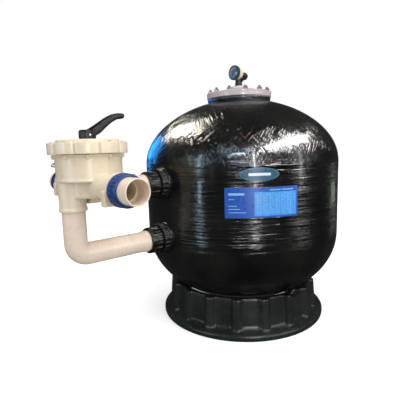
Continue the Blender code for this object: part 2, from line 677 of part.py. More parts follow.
def make_underdrain():
    corner = tank_point(0, 0, LOWER_PORT_Z)
    stations = run([(tank_point(-0.275, 0, LOWER_PORT_Z), INNER_PIPE_RADIUS)], X)
    stations += [(point, way, INNER_PIPE_RADIUS) for point, way in bend(corner, X, -Z, 0.035, 4)]
    stations += run([(tank_point(z=HUB_Z + 0.0035), INNER_PIPE_RADIUS)], -Z)
    pipe("collector_pipe", stations, 0.0163, 12, "white_plastic")
    hub = rod(tank_point(), Z, [(0.036, HUB_Z - 0.016), (0.041, HUB_Z - 0.012),
                                (0.041, HUB_Z + 0.016), (0.030, HUB_Z + 0.022)], 18)
    hub.name = "lateral_hub"
    drill(hub, tank_point(), Z, 0.0201, HUB_Z + 0.003, HUB_Z + 0.05, 12)
    drill(hub, tank_point(), Z, 0.0150, HUB_Z - 0.010, HUB_Z + 0.05, 12)
    for number in range(LATERALS):
        angle = 2 * math.pi * (number + 0.5) / LATERALS
        outward = Vector((math.cos(angle), math.sin(angle), 0))
        drill(hub, tank_point(z=HUB_Z), outward, LATERAL_RADIUS + 0.0010, 0.0330, 0.060, 8)
        drill(hub, tank_point(z=HUB_Z), outward, LATERAL_RADIUS - 0.003, 0.008, 0.040, 6)
        lateral = [(LATERAL_RADIUS - 0.002, 0.168), (LATERAL_RADIUS - 0.002, 0.0334),
                   (LATERAL_RADIUS, 0.0334), (LATERAL_RADIUS, 0.168),
                   (LATERAL_RADIUS - 0.003, 0.172)]
        turned(f"lateral_{number + 1}", lateral, axis_frame(tank_point(z=HUB_Z), outward), 8,
               "white_plastic", closed=False)
    give_look(hub, "white_plastic")


def make_drain():
    frame = axis_frame(tank_point(z=DRAIN_Z), DRAIN_DIRECTION)
    spigot = [(0.0045, 0.2180), (0.0082, 0.2180), (0.0082, 0.2452), (0.0112, 0.2452),
              (0.0112, 0.2495), (0.0078, 0.2495), (0.0078, 0.2625), (0.0045, 0.2625)]
    turned("drain_spigot", spigot, frame, 12, "black_plastic")
    cap = turned("drain_cap", [(0.0084, 0.2630), (0.0084, 0.2499), (0.0112, 0.2499),
                               (0.0112, 0.2660), (0.0100, 0.2675)], frame, 12, closed=False)
    across = DRAIN_DIRECTION.cross(Z)
    corners = [across * 0.0165 * a + Z * 0.0022 * b for a, b in ((-1, -1), (1, -1), (1, 1), (-1, 1))]
    rings = []
    for reach in (0.2655, 0.2710):
        rings.append([tank_point(z=DRAIN_Z) + DRAIN_DIRECTION * reach + c for c in corners])
    join(cap, loft("tool", rings, smooth=False))
    give_look(cap, "black_plastic")
    pivot = tank_point(z=DRAIN_Z) + DRAIN_DIRECTION * 0.2575
    cap.data.transform(Matrix.Translation(-pivot))
    cap.location = pivot


def main():
    clear_scene()
    make_vessel()
    make_skirt()
    make_lid()
    make_lid_bolts()
    make_gauge()
    make_side_fitting("upper", UPPER_PORT_Z)
    make_side_fitting("lower", LOWER_PORT_Z)
    make_upper_tailpiece()
    make_elbow_pipe()
    make_valve_body()
    for port, direction in side_ports():
        make_outside_union(port, direction)
    make_sight_glass()
    make_cover()
    make_rotor()
    make_stem()
    make_spring()
    make_handle()
    make_diffuser()
    make_underdrain()
    make_drain()


main()
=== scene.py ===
"""Visual model of the side-mount sand filter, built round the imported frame.

Every piece is made in the frame's own coordinates: metres, +Z up, +X from the valve to the vessel.
"""

import json
import math
import random

import bmesh
import bpy
from mathutils import Matrix, Vector, noise


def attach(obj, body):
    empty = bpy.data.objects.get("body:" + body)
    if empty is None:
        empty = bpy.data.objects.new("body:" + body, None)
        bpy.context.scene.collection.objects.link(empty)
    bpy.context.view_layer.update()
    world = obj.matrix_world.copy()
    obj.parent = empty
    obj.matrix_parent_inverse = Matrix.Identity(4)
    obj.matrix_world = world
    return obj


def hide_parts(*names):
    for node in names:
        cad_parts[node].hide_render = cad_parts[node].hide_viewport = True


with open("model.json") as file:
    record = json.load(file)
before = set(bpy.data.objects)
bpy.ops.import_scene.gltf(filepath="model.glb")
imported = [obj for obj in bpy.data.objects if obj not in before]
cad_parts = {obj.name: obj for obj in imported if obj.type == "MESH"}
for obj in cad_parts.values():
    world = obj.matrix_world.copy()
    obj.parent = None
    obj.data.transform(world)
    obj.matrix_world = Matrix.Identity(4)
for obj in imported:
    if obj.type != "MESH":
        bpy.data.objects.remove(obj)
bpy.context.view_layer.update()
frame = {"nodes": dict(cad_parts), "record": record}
SLOT_OF = {row["node"]: row["material_slot"] for row in frame["record"]["subparts"]}
BODY_OF = {node: body for body, nodes in frame["record"]["behaviour"]["bodies"].items()
           for node in nodes}

TANK_X = 0.1485
VALVE_X = -0.3555
UPPER_PORT_Z = 0.434
LOWER_PORT_Z = 0.283
SIDE_PORT_Z = 0.445
PORT_FACES = {"pump": 0.183, "return": 0.183, "waste": 0.148}
GAUGE_Z = 0.756
KNOB_BASE_Z = 0.7245
DRAIN_Z = 0.128
SIGHT_GLASS_Z = 0.4954
PIN_Z = 0.5645
COVER_DISC_TOP = 0.553
LOBE_PHASE = math.radians(-6)
RIB_PHASE = math.radians(1)
VESSEL_RADIUS = 0.3
LOWER_DOME = (0.2664, -0.2151, 2.04)
UPPER_DOME = (0.4809, 0.1944, 1.93)
DOME_EDGE = 0.2999
SHELL = 0.006
SKIRT_RIBS = 18
LID_BOLTS = 12
LID_BOLT_CIRCLE = 0.09
COVER_LOBES = 10
COVER_LOBE_RADIUS = 0.0915
COVER_VALLEY_RADIUS = 0.0848
COVER_SCREW_CIRCLE = 0.0815
BOTTOM_PORT_X = -0.046
PIPE_RADIUS = 0.0268
PIPE_BORE = 0.0225
VIEW_HEADING = 39.0
LABEL_TOWARD = -4.0 - VIEW_HEADING
LABEL_LOW = 0.3515
BADGE_Z = 0.459

X = Vector((1, 0, 0))
Y = Vector((0, 1, 0))
Z = Vector((0, 0, 1))
WASTE_DIRECTION = Vector((1, 1, 0)).normalized()
SIGHT_DIRECTION = Vector((-1, 1, 0)).normalized()
KNOB_DIRECTION = Vector((1, 0, 1)).normalized()
DRAIN_DIRECTION = Vector((math.cos(math.radians(-103)), math.sin(math.radians(-103)), 0))


# Mesh tools

def tank_point(x=0.0, y=0.0, z=0.0):
    return Vector((TANK_X + x, y, z))


def valve_point(x=0.0, y=0.0, z=0.0):
    return Vector((VALVE_X + x, y, z))


def full_turn(count, start=0.0):
    """Evenly spaced angles once round."""
    return [start + 2 * math.pi * index / count for index in range(count)]


def axis_frame(origin, direction):
    """Matrix whose Z runs along direction."""
    along = Vector(direction).normalized()
    hint = Y if abs(along.dot(X)) > 0.5 else X
    side = (hint - along * hint.dot(along)).normalized()
    up = along.cross(side)
    matrix = Matrix((side, up, along)).transposed().to_4x4()
    matrix.translation = Vector(origin)
    return matrix


def finish_mesh(mesh, sharp=38):
    shell = bmesh.new()
    shell.from_mesh(mesh)
    bmesh.ops.recalc_face_normals(shell, faces=shell.faces)
    limit = math.radians(sharp)
    for face in shell.faces:
        face.smooth = True
    for edge in shell.edges:
        if len(edge.link_faces) == 2 and edge.calc_face_angle() > limit:
            edge.smooth = False
    shell.to_mesh(mesh)
    shell.free()


def loft(name, rings, closed=False, sharp=38):
    """Skin rings of equal length in order; close the tube on itself or cap both ends."""
    count = len(rings[0])
    points = [tuple(point) for ring in rings for point in ring]
    last = len(rings) - 1
    steps = [(index, index + 1) for index in range(last)]
    if closed:
        steps.append((last, 0))
    faces = []
    for low, high in steps:
        for side in range(count):
            after = (side + 1) % count
            faces.append((low * count + side, low * count + after,
                          high * count + after, high * count + side))
    if not closed:
        faces.append(tuple(range(count)))
        faces.append(tuple(range(last * count, (last + 1) * count)))
    mesh = bpy.data.meshes.new(name)
    mesh.from_pydata(points, [], faces)
    finish_mesh(mesh, sharp)
    item = bpy.data.objects.new(name, mesh)
    bpy.context.scene.collection.objects.link(item)
    return item


def fillet(points, radius, closed=True, steps=3):
    """Round every corner of a profile by up to radius."""
    count = len(points)
    rounded = []
    for index, point in enumerate(points):
        if not closed and index in (0, count - 1):
            rounded.append(point)
            continue
        corner = Vector(point)
        before = Vector(points[index - 1]) - corner
        after = Vector(points[(index + 1) % count]) - corner
        reach = min(radius, before.length * 0.42, after.length * 0.42)
        if reach < 1e-5:
            rounded.append(point)
            continue
        start = corner + before.normalized() * reach
        end = corner + after.normalized() * reach
        for step in range(steps + 1):
            share = step / steps
            spot = start * (1 - share) ** 2 + corner * 2 * share * (1 - share) + end * share ** 2
            rounded.append(tuple(spot))
    return rounded


def turned(name, profile, matrix, segments=64, closed=True, shape=None, sharp=38):
    """Revolve (radius, distance) pairs; shape may change a radius by angle and distance."""
    rings = []
    for radius, along in profile:
        ring = []
        for angle in full_turn(segments):
            reach = shape(angle, radius, along) if shape else radius
            ring.append(matrix @ Vector((reach * math.cos(angle), reach * math.sin(angle), along)))
        rings.append(ring)
    return loft(name, rings, closed, sharp)


def softened(name, profile, radius, matrix, segments=64, closed=False, shape=None):
    """Turned piece whose profile has its corners rounded first."""
    return turned(name, fillet(profile, radius, closed), matrix, segments, closed, shape)


def rod(origin, direction, profile, segments=72):
    return turned("tool", profile, axis_frame(origin, direction), segments, closed=False)


def block(low, high):
    corners = [(low[0], low[1]), (high[0], low[1]), (high[0], high[1]), (low[0], high[1])]
    return loft("tool", [[(x, y, z) for x, y in corners] for z in (low[2], high[2])])


def merge(item, others):
    """Put the others' faces into item as they are and drop the others."""
    shell = bmesh.new()
    shell.from_mesh(item.data)
    for other in others:
        shell.from_mesh(other.data)
        bpy.data.objects.remove(other, do_unlink=True)
    shell.to_mesh(item.data)
    shell.free()
    return item


def apply_modifiers(item):
    graph = bpy.context.evaluated_depsgraph_get()
    mesh = bpy.data.meshes.new_from_object(item.evaluated_get(graph))
    item.modifiers.clear()
    item.data = mesh


def combine(item, other, operation):
    modifier = item.modifiers.new(operation, "BOOLEAN")
    modifier.operation = operation
    modifier.solver = "EXACT"
    modifier.object = other
    apply_modifiers(item)
    bpy.data.objects.remove(other, do_unlink=True)


def drill(item, origin, direction, radius, start, end, segments=48):
    combine(item, rod(origin, direction, [(radius, start), (radius, end)], segments), "DIFFERENCE")


def moulded(item, voxel, passes):
    """Melt overlapping solids into one skin and soften its edges, as a mould leaves them."""
    modifier = item.modifiers.new("skin", "REMESH")
    modifier.mode = "VOXEL"
    modifier.voxel_size = voxel
    modifier.adaptivity = 0.0
    relax = item.modifiers.new("relax", "SMOOTH")
    relax.factor = 0.5
    relax.iterations = passes
    apply_modifiers(item)
    finish_mesh(item.data, 50)


def place(item, material, node=None):
    """Give a finished piece its material and the body of the frame node it stands for, and hide that
    node.
    """
    item.data.materials.clear()
    item.data.materials.append(material)
    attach(item, BODY_OF.get(node, "filter"))
    if node:
        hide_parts(node)
    return item


# Materials

class Look:
    """A Principled material with helpers for the texture nodes behind it."""

    def __init__(self, name, color, roughness, metallic=0.0):
        self.material = bpy.data.materials.new(name)
        self.material.use_nodes = True
        self.tree = self.material.node_tree
        self.shader = self.tree.nodes["Principled BSDF"]
        self.set("Base Color", (*color, 1.0))
        self.set("Roughness", roughness)
        self.set("Metallic", metallic)
        coordinates = self.node("ShaderNodeTexCoord")
        self.place = coordinates.outputs["Object"]

    def set(self, socket, value):
        self.shader.inputs[socket].default_value = value

    def node(self, kind, **settings):
        node = self.tree.nodes.new(kind)
        for key, value in settings.items():
            setattr(node, key, value)
        return node

    def link(self, source, target):
        self.tree.links.new(source, target)

    def math(self, operation, first, second=None):
        node = self.node("ShaderNodeMath", operation=operation)
        for socket, value in zip(node.inputs, (first, second)):
            if value is None:
                continue
            if isinstance(value, (int, float)):
                socket.default_value = value
            else:
                self.link(value, socket)
        return node.outputs[0]

    def stretched(self, scale):
        node = self.node("ShaderNodeMapping")
        node.inputs["Scale"].default_value = scale
        self.link(self.place, node.inputs["Vector"])
        return node.outputs[0]

    def noise(self, scale, detail=4.0, vector=None, distortion=0.0):
        node = self.node("ShaderNodeTexNoise")
        node.inputs["Scale"].default_value = scale
        node.inputs["Detail"].default_value = detail
        node.inputs["Distortion"].default_value = distortion
        self.link(vector or self.place, node.inputs["Vector"])
        return node.outputs["Fac"]

    def span(self, value, low, high, bottom=0.0, top=1.0):
        node = self.node("ShaderNodeMapRange")
        for socket, number in (("From Min", low), ("From Max", high), ("To Min", bottom),
                               ("To Max", top)):
            node.inputs[socket].default_value = number
        self.link(value, node.inputs["Value"])
        return node.outputs["Result"]

    def tint(self, value, low, high, below=0.35, above=0.65):
        """Colour that goes from low to high with value."""
        ramp = self.node("ShaderNodeValToRGB")
        ramp.color_ramp.elements[0].position = below
        ramp.color_ramp.elements[0].color = (*low, 1.0)
        ramp.color_ramp.elements[1].position = above
        ramp.color_ramp.elements[1].color = (*high, 1.0)
        self.link(value, ramp.inputs["Fac"])
        self.link(ramp.outputs["Color"], self.shader.inputs["Base Color"])
        return ramp.outputs["Color"]

    def rough(self, value, low, high):
        self.link(self.span(value, 0.3, 0.7, low, high), self.shader.inputs["Roughness"])

    def bump(self, height, strength, distance):
        node = self.node("ShaderNodeBump")
        node.inputs["Strength"].default_value = strength
        node.inputs["Distance"].default_value = distance
        self.link(height, node.inputs["Height"])
        previous = self.shader.inputs["Normal"]
        if previous.links:
            self.link(previous.links[0].from_socket, node.inputs["Normal"])
        self.link(node.outputs["Normal"], previous)


def shade(color, factor):
    return tuple(min(1.0, channel * factor) for channel in color)


def moulded_plastic(name, color, roughness, grain=900.0, vary=0.1, strength=0.12):
    """Injection-moulded plastic: faint flow mottling, fine grain and uneven gloss."""
    look = Look(name, color, roughness)
    flow = look.noise(14.0, 5.0, distortion=0.6)
    look.tint(flow, shade(color, 1 - vary), shade(color, 1 + vary))
    look.rough(look.noise(55.0, 6.0), roughness * 0.82, roughness * 1.22)
    look.bump(look.noise(grain, 3.0), strength, 0.0004)
    look.bump(look.noise(32.0, 2.0), strength * 1.2, 0.0009)
    return look


def wound_resin():
    """Black resin over wound fibre: hoops round the cylinder, crossing helices on the domes."""
    look = Look("wound_resin", (0.006, 0.007, 0.007), 0.16)
    split = look.node("ShaderNodeSeparateXYZ")
    look.link(look.place, split.inputs[0])
    across = look.math("SUBTRACT", split.outputs["X"], TANK_X)
    depth = split.outputs["Y"]
    height = split.outputs["Z"]
    angle = look.math("ARCTAN2", depth, across)
    squares = look.math("ADD", look.math("MULTIPLY", across, across),
                        look.math("MULTIPLY", depth, depth))
    radius = look.math("SQRT", squares)
    along = look.math("SUBTRACT", height, radius)

    def woven(first, second, scale, detail):
        join = look.node("ShaderNodeCombineXYZ")
        look.link(first, join.inputs["X"])
        look.link(second, join.inputs["Y"])
        return look.noise(scale, detail, join.outputs[0])

    arc = look.math("MULTIPLY", angle, 0.3)
    lean = look.math("MULTIPLY", along, 0.55)
    slow = look.math("MULTIPLY", along, 0.09)
    right = woven(look.math("ADD", arc, lean), slow, 150.0, 2.5)
    left = woven(look.math("SUBTRACT", arc, lean), slow, 170.0, 2.5)
    helix = look.math("MAXIMUM", right, left)
    hoop = woven(look.math("MULTIPLY", angle, 0.012), height, 240.0, 2.5)
    band = woven(look.math("MULTIPLY", angle, 0.02), height, 60.0, 2.0)
    upper = look.span(height, 0.478, 0.494)
    lower = look.span(height, 0.275, 0.225)
    dome = look.math("MAXIMUM", upper, lower)
    on_cylinder = look.math("SUBTRACT", 1.0, dome)
    hoops = look.math("MULTIPLY", look.math("ADD", hoop, look.math("MULTIPLY", band, 2.0)),
                      on_cylinder)
    helices = look.math("MULTIPLY", helix, look.math("ADD", dome, 0.06))
    look.bump(look.math("ADD", hoops, helices), 1.0, 0.0022)
    look.bump(look.noise(9.0, 2.0), 0.4, 0.005)
    look.tint(look.noise(11.0, 4.0), (0.003, 0.004, 0.004), (0.012, 0.013, 0.01))
    look.rough(look.math("ADD", look.math("MULTIPLY", helix, 0.6),
                         look.math("MULTIPLY", look.noise(60.0, 5.0), 0.4)), 0.13, 0.24)
    look.set("Coat Weight", 0.25)
    look.set("Coat Roughness", 0.08)
    look.set("Specular IOR Level", 0.5)
    return look.material


def skirt_plastic():
    look = moulded_plastic("skirt_plastic", (0.014, 0.019, 0.017), 0.3, 650.0, 0.25, 0.3)
    look.bump(look.noise(180.0, 4.0, look.stretched((1, 1, 0.15))), 0.15, 0.0006)
    return look.material


def black_plastic(name, roughness=0.36):
    return moulded_plastic(name, (0.006, 0.006, 0.007), roughness, 800.0, 0.25, 0.25).material


def ivory_plastic(name, color=(0.76, 0.665, 0.505), roughness=0.3):
    look = moulded_plastic(name, color, roughness, 700.0, 0.035, 0.1)
    look.set("Subsurface Weight", 0.08)
    look.set("Subsurface Radius", (0.006, 0.004, 0.002))
    look.set("Subsurface Scale", 1.0)
    return look.material


def blue_plastic():
    return moulded_plastic("union_blue", (0.007, 0.045, 0.2), 0.26, 800.0, 0.15, 0.15).material


def clear_plastic(name, color, transmission, roughness):
    look = Look(name, color, roughness)
    look.tint(look.noise(20.0, 4.0), shade(color, 0.94), shade(color, 1.03))
    look.rough(look.noise(90.0, 5.0), roughness * 0.8, roughness * 1.5)
    look.bump(look.noise(60.0, 3.0), 0.1, 0.0006)
    look.set("Transmission Weight", transmission)
    look.set("IOR", 1.49)
    return look.material


def metal(name, color, roughness):
    look = Look(name, color, roughness, 1.0)
    look.tint(look.noise(120.0, 5.0), shade(color, 0.75), shade(color, 1.1))
    look.rough(look.noise(240.0, 5.0, look.stretched((1, 1, 4))), roughness * 0.7, roughness * 1.5)
    look.bump(look.noise(900.0, 3.0, look.stretched((1, 1, 5))), 0.12, 0.0003)
    return look.material


def printed(name, color, vary=0.06, roughness=0.3):
    look = Look(name, color, roughness)
    look.tint(look.noise(26.0, 5.0), shade(color, 1 - vary), shade(color, 1 + vary))
    look.rough(look.noise(140.0, 4.0), roughness * 0.8, roughness * 1.25)
    look.bump(look.noise(500.0, 3.0), 0.08, 0.0003)
    return look.material


def rubber(name):
    look = Look(name, (0.018, 0.018, 0.018), 0.65)
    look.tint(look.noise(70.0, 4.0), (0.012, 0.012, 0.012), (0.026, 0.026, 0.025))
    look.rough(look.noise(200.0, 4.0), 0.55, 0.8)
    look.bump(look.noise(700.0, 3.0), 0.2, 0.0004)
    return look.material


# Vessel, skirt and lid

def dome_outline(center, height, power, inset, first, last, steps):
    """(radius, z) pairs between two radii, close together where the dome turns."""
    sign = 1 if height > 0 else -1
    equator = VESSEL_RADIUS - inset
    depth = abs(height) - inset
    begin = math.acos(min(1.0, first / equator))
    finish = math.acos(min(1.0, last / equator))
    points = []
    for index in range(steps + 1):
        share = math.cos(begin + (finish - begin) * index / steps)
        radius = share * equator
        rise = depth * max(0.0, 1 - share ** power) ** (1 / power)
        points.append((radius, center + sign * rise))
    return points


def make_vessel(material):
    lower = dome_outline(*LOWER_DOME, 0.0, 0.02, DOME_EDGE, 46)
    side = [(VESSEL_RADIUS, LOWER_DOME[0] + 0.2145 * index / 60) for index in range(61)]
    upper = dome_outline(*UPPER_DOME, 0.0, DOME_EDGE, 0.11, 40)
    neck = fillet([(0.11, 0.6602), (0.0985, 0.6625), (0.0945, 0.665), (0.0945, 0.6675),
                   (0.098, 0.6685), (0.098, 0.6758), (0.07, 0.6758), (0.07, 0.663)],
                  0.0012, closed=False)
    inner = dome_outline(*UPPER_DOME, SHELL, 0.07, DOME_EDGE - SHELL, 14)
    floor = dome_outline(*LOWER_DOME, SHELL, DOME_EDGE - SHELL, 0.02, 14)
    profile = lower + side + upper[:-1] + neck + inner + floor

    def shape(angle, radius, along):
        """Hoop bands and slack fibre leave the wall a little hollow here and there."""
        if radius < 0.105 or along > 0.66:
            return radius
        hoop = noise.noise(Vector((0.7 * math.cos(angle), 0.7 * math.sin(angle), along * 90)))
        twist = angle * 7 + along * 16
        cross = noise.noise(Vector((math.cos(twist) * 3, math.sin(twist) * 3, along * 20)))
        slack = 0.00035 + 0.00025 * hoop + 0.00018 * cross
        return radius - max(0.0, slack)

    item = turned("tank_vessel_wound", profile, axis_frame(tank_point(), Z), 224, closed=False,
                  shape=shape, sharp=60)
    return place(item, material, "tank_vessel")


def panel_share(angle):
    """0 on a rib of the skirt, 1 across the hollow panels between the ribs."""
    phase = ((angle - RIB_PHASE) * SKIRT_RIBS / (2 * math.pi)) % 1.0
    away = min(phase, 1 - phase)
    step = max(0.0, min(1.0, (away - 0.075) / 0.17))
    return step * step * (3 - 2 * step) * (0.9 + 0.1 * min(1.0, away * 2))


def make_skirt(material):
    matrix = axis_frame(tank_point(), Z)
    outer = [(0.2435, 0.0172), (0.2402, 0.02), (0.239, 0.025)]
    outer += [(0.239 - 0.0058 * index / 12, 0.025 + 0.0785 * index / 12)
              for index in range(1, 13)]
    outer += [(0.2326, 0.1056), (0.2312, 0.1069), (0.228, 0.107)]
    cradle = [(0.209, 0.107), (0.2066, 0.1062), (0.2054, 0.1015), (0.209, 0.099)]
    inner = [(0.227, 0.0975), (0.2296, 0.09), (0.2345, 0.026), (0.234, 0.018)]
    foot = fillet([(0.224, 0.0125), (0.226, 0.0), (0.2585, 0.0), (0.26, 0.004),
                   (0.26, 0.0128), (0.2575, 0.016)], 0.0018, closed=False)
    profile = foot + outer + cradle + inner

    def shape(angle, radius, along):
        if along < 0.0165 or radius < 0.22:
            return radius
        deep = min(1.0, (along - 0.0165) / 0.005)
        depth = 0.0125 if radius > 0.23 and along < 0.1071 else 0.009
        return radius - depth * panel_share(angle) * deep

    item = turned("base_skirt_fluted", profile, matrix, SKIRT_RIBS * 28, shape=shape, sharp=50)
    place(item, material, "base_skirt")


def lid_bolt_angles():
    return full_turn(LID_BOLTS, math.radians(27))


def make_lid(material):
    profile = [(0.0086, 0.7158), (0.0215, 0.7158), (0.024, 0.709), (0.048, 0.704),
               (0.065, 0.697), (0.069, 0.6938), (0.1008, 0.6938), (0.1008, 0.69),
               (0.1, 0.689), (0.1, 0.677), (0.069, 0.677), (0.069, 0.668),
               (0.062, 0.668), (0.06, 0.686), (0.046, 0.695), (0.022, 0.7),
               (0.0086, 0.701)]
    lid = softened("tank_lid_clear", profile, 0.0016, axis_frame(tank_point(), Z), 144, closed=True)
    ribs = []
    for angle in lid_bolt_angles():
        middle = angle + math.pi / LID_BOLTS
        outward = Vector((math.cos(middle), math.sin(middle), 0))
        sideways = Vector((-outward.y, outward.x, 0)) * 0.0013
        outline = [(0.03, 0.7068), (0.048, 0.7058), (0.07, 0.6985), (0.094, 0.6955),
                   (0.094, 0.693), (0.03, 0.699)]
        rings = [[tank_point(z=z) + outward * radius + sideways * side for radius, z in outline]
                 for side in (-1, 1)]
        ribs.append(loft("tool", rings))
    merge(lid, ribs)
    place(lid, material, "tank_lid")


def hexagon(size, z, centre):
    return [centre + Vector((size * math.cos(math.pi / 3 * i), size * math.sin(math.pi / 3 * i), z))
            for i in range(6)]


def make_lid_bolts(material):
    for number, angle in enumerate(lid_bolt_angles(), start=1):
        centre = tank_point(LID_BOLT_CIRCLE * math.cos(angle), LID_BOLT_CIRCLE * math.sin(angle))
        stud = [(0.0038, 0.665), (0.0038, 0.699)]
        for turn in range(8):
            base = 0.6998 + turn * 0.0008
            stud += [(0.004, base), (0.0036, base + 0.0004)]
        stud += [(0.003, 0.7064)]
        bolt = turned(f"lid_bolt_{number:02d}_threaded", stud, axis_frame(centre, Z), 24,
                      closed=False, sharp=30)
        rim = [(0.004, 0.6943), (0.0082, 0.6943), (0.0082, 0.6953), (0.004, 0.6953)]
        washer = softened("tool", rim, 0.0003, axis_frame(centre, Z), 32, closed=True)
        nut = loft("tool", [hexagon(size, z, centre) for size, z in
                            ((0.0069, 0.6954), (0.0075, 0.6962), (0.0075, 0.7005), (0.0066, 0.7013))])
        merge(bolt, [washer, nut])
        place(bolt, material, f"lid_bolt_{number:02d}")


# Gauge and air relief

def make_gauge_tee(material):
    column = [(0.0078, 0.692), (0.0078, 0.7163), (0.0112, 0.7163), (0.0115, 0.723),
              (0.01, 0.725), (0.01, 0.731), (0.0112, 0.733), (0.0092, 0.736)]
    tee = softened("gauge_tee_body", column, 0.001, axis_frame(tank_point(), Z), 48)
    arm = [(0.0062, 0.0), (0.006, 0.024), (0.0068, 0.025), (0.0066, 0.0285)]
    combine(tee, rod(tank_point(z=KNOB_BASE_Z), KNOB_DIRECTION, arm, 32), "UNION")
    drill(tee, tank_point(), Z, 0.0052, 0.7262, 0.75, 32)
    place(tee, material, "gauge_tee")


def make_gauge(mats):
    tube = [(0.0018, 0.7266), (0.0046, 0.7266), (0.0046, 0.744), (0.0018, 0.744)]
    stem = turned("gauge_stem_brass", tube, axis_frame(tank_point(), Z), 32)
    place(stem, mats["brass"], "gauge_stem")

    front = axis_frame(tank_point(z=GAUGE_Z), -X)
    case = [(0.0145, -0.0025), (0.0145, 0.0095), (0.0184, 0.0095), (0.0184, 0.0215),
            (0.0202, 0.0215), (0.0202, 0.013), (0.0192, 0.008), (0.0165, -0.005),
            (0.0147, -0.006)]
    shell = softened("gauge_case_shell", case, 0.0014, front, 96)
    drill(shell, tank_point(), Z, 0.0049, 0.73, 0.75, 32)
    place(shell, mats["cream"], "gauge_case")

    bezel = [(0.0206, 0.0135), (0.0218, 0.0135), (0.0221, 0.0215), (0.0213, 0.0226),
             (0.0178, 0.0226), (0.0175, 0.0218), (0.0206, 0.0218)]
    ring = softened("gauge_bezel_ring", bezel, 0.0007, front, 96, closed=True)
    place(ring, mats["teal"], "gauge_bezel")

    glass = [(0.003, 0.019), (0.018, 0.019), (0.018, 0.0205), (0.01, 0.0213),
             (0.003, 0.0214)]
    lens = softened("gauge_lens_clear", glass, 0.0004, front, 72)
    place(lens, mats["lens"], "gauge_lens")

    plate = [(0.002, 0.0098), (0.018, 0.0098), (0.018, 0.0107), (0.002, 0.0107)]
    dial = softened("gauge_dial_plate", plate, 0.0002, front, 72)
    place(dial, mats["dial"], "gauge_dial")
    make_dial_marks(mats["pale"])
    make_needle(mats["pale"])


def make_air_relief(material):
    def knurl(angle, radius, along):
        if radius < 0.0094:
            return radius
        return radius - 0.0007 * (0.5 - 0.5 * math.cos(angle * 14)) ** 2

    knob = [(0.0036, 0.012), (0.0036, 0.029), (0.0098, 0.029), (0.0115, 0.0305),
            (0.0115, 0.04), (0.01, 0.042), (0.005, 0.042), (0.004, 0.0412)]
    matrix = axis_frame(tank_point(z=KNOB_BASE_Z), KNOB_DIRECTION)
    grip = softened("air_relief_knob_ribbed", knob, 0.0009, matrix, 140, shape=knurl)
    place(grip, material, "air_relief_knob")


def dial_spot(reach, sweep, depth):
    """Point on the dial; sweep is degrees clockwise from zero as the dial is read."""
    turn = Matrix.Rotation(math.radians(sweep), 3, X)
    toward = turn @ (Y - Z).normalized()
    return tank_point(-depth, 0, GAUGE_Z) + toward * reach


def make_dial_marks(material):
    """Scale lines and an arc, with no lettering."""
    low, high = 0.0108, 0.01095
    strips = []
    for tick in range(28):
        sweep = tick * 10
        inner, width = (0.0118, 0.9) if tick % 3 == 0 else (0.0136, 0.55)
        quads = [(inner, sweep - width * 1.3), (0.016, sweep - width),
                 (0.016, sweep + width), (inner, sweep + width * 1.3)]
        strips.append(loft("tool", [[dial_spot(reach, turn, depth) for reach, turn in quads]
                                    for depth in (low, high)]))
    edge = ((0.0162, low), (0.0167, low), (0.0167, high), (0.0162, high))
    arc = [[dial_spot(reach, turn, depth) for reach, depth in edge] for turn in range(0, 271, 6)]
    marks = merge(loft("gauge_dial_marks", arc), strips)
    place(marks, material)


def make_needle(material):
    outline = [(0.0142, 0.0), (0.01, 0.0005), (0.0021, 0.001), (0.0015, 0.0017), (0.0, 0.0021),
               (-0.0015, 0.0017), (-0.0021, 0.0009), (-0.0048, 0.0011), (-0.0048, -0.0011),
               (-0.0021, -0.0009), (-0.0015, -0.0017), (0.0, -0.0021), (0.0015, -0.0017),
               (0.0021, -0.001), (0.01, -0.0005)]
    toward = (Y - Z).normalized()
    across = X.cross(toward)
    rings = []
    for depth in (0.0116, 0.0123):
        centre = tank_point(-depth, 0, GAUGE_Z)
        rings.append([centre + toward * a + across * b for a, b in outline])
    item = loft("gauge_needle_pointer", rings)
    boss = [(0.0002, 0.0116), (0.0019, 0.0116), (0.0017, 0.0132), (0.0002, 0.0134)]
    merge(item, [softened("tool", boss, 0.0004, axis_frame(tank_point(z=GAUGE_Z), -X), 32)])
    place(item, material, "gauge_needle")


# Side fittings, pipes and unions

def ribbed(count, depth, low, high, width=0.5):
    """Shape that cuts grooves between ribs over part of a turned piece."""
    def shape(angle, radius, along):
        if not low < along < high:
            return radius
        phase = (angle * count / (2 * math.pi)) % 1.0
        away = abs(phase - 0.5) * 2
        groove = max(0.0, min(1.0, (away - width) / 0.18))
        fade = min(1.0, (along - low) / 0.002, (high - along) / 0.002)
        return radius - depth * groove * fade
    return shape


def outer_only(shape, limit):
    def filtered(angle, radius, along):
        return shape(angle, radius, along) if radius > limit else radius
    return filtered


def make_side_fitting(level, height, material):
    matrix = axis_frame(tank_point(z=height), -X)
    flange = [(0.02, 0.262), (0.029, 0.262), (0.029, 0.295), (0.043, 0.2965),
              (0.043, 0.306), (0.0412, 0.3072), (0.0412, 0.3205), (0.0395, 0.324),
              (0.03, 0.325), (0.0285, 0.326), (0.0285, 0.35), (0.02, 0.35)]
    body = softened(f"bulkhead_{level}_ribbed", flange, 0.0012, matrix, 240, True,
                    outer_only(ribbed(20, 0.0026, 0.3072, 0.3236, 0.45), 0.036))
    place(body, material, f"bulkhead_{level}")
    nut = [(0.0295, 0.3258), (0.0338, 0.3258), (0.0352, 0.3285), (0.0352, 0.3545),
           (0.0338, 0.3583), (0.028, 0.3585), (0.0278, 0.3546), (0.0295, 0.3546)]
    ring = softened(f"union_nut_{level}_ribbed", nut, 0.001, matrix, 240, True,
                    outer_only(ribbed(16, 0.0022, 0.328, 0.3555, 0.5), 0.0325))
    place(ring, material, f"union_nut_{level}")


